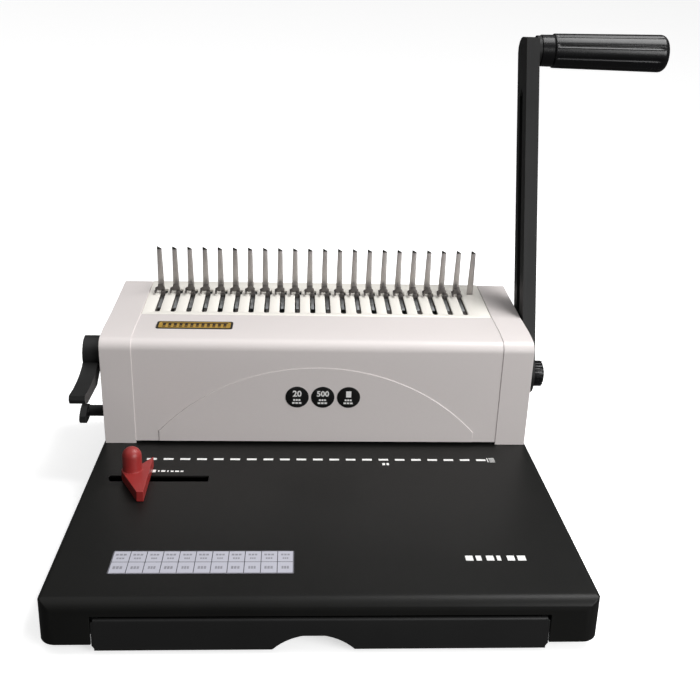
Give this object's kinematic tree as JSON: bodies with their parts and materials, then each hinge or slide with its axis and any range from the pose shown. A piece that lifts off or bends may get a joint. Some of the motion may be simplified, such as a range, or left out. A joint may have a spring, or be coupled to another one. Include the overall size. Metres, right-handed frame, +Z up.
{
  "type": "comb binding machine",
  "caption": "Desktop comb binding machine with a long side handle for punching, a row of comb posts and hooks, an opener lever, a paper guide and a pull-out chip tray.",
  "frame": {"origin": "centre of the base's footprint, on the surface it stands on", "axes": "+X to the right (handle side) seen from the front, +Y to the back, +Z up"},
  "size_m": [0.5365, 0.4136, 0.3955],
  "materials": {
    "base_black": "fine textured semi-gloss black",
    "casing_white": "smooth semi-gloss warm light grey paint",
    "cover_grey": "satin light grey moulding",
    "deck_cream": "smooth cream enamel",
    "zinc_steel": "zinc plated sheet",
    "tool_steel": "ground tool steel",
    "post_steel": "stamped sheet, brushed",
    "hook_steel": "stamped sheet, oiled",
    "bright_steel": "turned, bright",
    "brass": "turned brass",
    "tray_black": "satin black moulding",
    "lever_black": "satin black moulding",
    "arm_black": "satin black paint on a casting",
    "grip_black": "glossy black grip",
    "foot_rubber": "matt black rubber",
    "guide_red": "satin red moulding",
    "label_paper": "printed label",
    "mark_white": "white print",
    "plate_gold": "gold plate with a dark border",
    "badge_black": "printed black disc"
  },
  "bodies": {
    "frame": {"base_shell": "base_black", "base_plate": "zinc_steel", "rubber_feet": "foot_rubber", "foot_screws": "bright_steel", "tray_runners": "zinc_steel", "casing": "casing_white", "rear_panel": "casing_white", "left_side_cover": "cover_grey", "right_side_cover": "cover_grey", "comb_deck": "deck_cream", "comb_posts": "post_steel", "post_rail": "zinc_steel", "chassis_left": "zinc_steel", "chassis_right": "zinc_steel", "bearing_bracket_left": "zinc_steel", "bearing_bracket_right": "zinc_steel", "shaft_bushes": "brass", "die_block": "tool_steel", "gap_spacers": "zinc_steel", "punch_guide": "tool_steel", "die_bolts": "bright_steel", "guide_columns": "bright_steel", "return_springs": "bright_steel", "carriage_rails": "zinc_steel", "cover_screws": "bright_steel", "size_label": "label_paper", "hole_marks": "mark_white", "name_plate": "plate_gold", "feature_badges": "badge_black"},
    "tray": {"chip_tray": "tray_black"},
    "punch": {"punch_bar": "tool_steel", "punch_pins": "tool_steel", "punch_keeper": "zinc_steel", "keeper_screws": "bright_steel"},
    "handle": {"drive_shaft": "bright_steel", "eccentric_discs": "tool_steel", "handle_arm": "arm_black", "grip_spindle": "arm_black"},
    "grip": {"handle_grip": "grip_black"},
    "knob": {"clamp_knob": "grip_black"},
    "opener": {"opener_lever": "lever_black", "lever_shaft": "bright_steel", "lever_gear": "brass"},
    "idler": {"idler_shaft": "bright_steel", "idler_gear": "brass", "rack_pinions": "brass"},
    "carriage": {"hook_carriage": "hook_steel", "opener_racks": "zinc_steel", "comb_hooks": "hook_steel"},
    "selector": {"margin_selector": "lever_black", "selector_arm": "zinc_steel"},
    "stop": {"depth_stop": "zinc_steel"},
    "side_guide": {"edge_guide": "guide_red", "guide_shoe": "zinc_steel"}
  },
  "joints": [
    {"name": "handle_turn", "type": "hinge", "parent": "frame", "child": "handle", "pos_m": [0.15, 0.101, 0.091], "axis": [1, 0, 0], "range_deg": [0, 80]},
    {"name": "punch_slide", "type": "slide", "parent": "frame", "child": "punch", "axis": [0, 0, -1], "range_m": [0, 0.013], "stiffness_N_per_m": 1500, "springref_m": -0.02, "deforming": ["return_springs"]},
    {"name": "grip_spin", "type": "hinge", "parent": "handle", "child": "grip", "pos_m": [0.2, 0.19714, 0.37834], "axis": [1, 0, 0], "continuous": true},
    {"name": "knob_turn", "type": "hinge", "parent": "handle", "child": "knob", "pos_m": [0.205, 0.101, 0.091], "axis": [1, 0, 0], "continuous": true},
    {"name": "opener_turn", "type": "hinge", "parent": "frame", "child": "opener", "pos_m": [-0.19, 0.064, 0.1215], "axis": [-1, 0, 0], "range_deg": [0, 90]},
    {"name": "idler_turn", "type": "hinge", "parent": "frame", "child": "idler", "pos_m": [0, 0.09085, 0.12432], "axis": [1, 0, 0], "range_deg": [0, 180.5]},
    {"name": "carriage_slide", "type": "slide", "parent": "frame", "child": "carriage", "axis": [0, -0.9971, -0.0767], "range_m": [0, 0.0354]},
    {"name": "tray_slide", "type": "slide", "parent": "frame", "child": "tray", "axis": [0, -1, 0], "range_m": [0, 0.22]},
    {"name": "selector_turn", "type": "hinge", "parent": "frame", "child": "selector", "pos_m": [-0.18, 0.065, 0.0655], "axis": [1, 0, 0], "range_deg": [-12.1, 12.1]},
    {"name": "stop_slide", "type": "slide", "parent": "frame", "child": "stop", "axis": [0, 1, 0], "range_m": [-0.0039, 0.0039]},
    {"name": "guide_slide", "type": "slide", "parent": "frame", "child": "side_guide", "axis": [1, 0, 0], "range_m": [-0.012, 0.053]}
  ],
  "couplings": [
    {"joint": "punch_slide", "follows": "handle_turn", "m_per_rad": 0.0092073},
    {"joint": "idler_turn", "follows": "opener_turn", "ratio": 2},
    {"joint": "carriage_slide", "follows": "opener_turn", "m_per_rad": 0.0225},
    {"joint": "selector_turn", "follows": "stop_slide", "rad_per_m": 53.763}
  ]
}
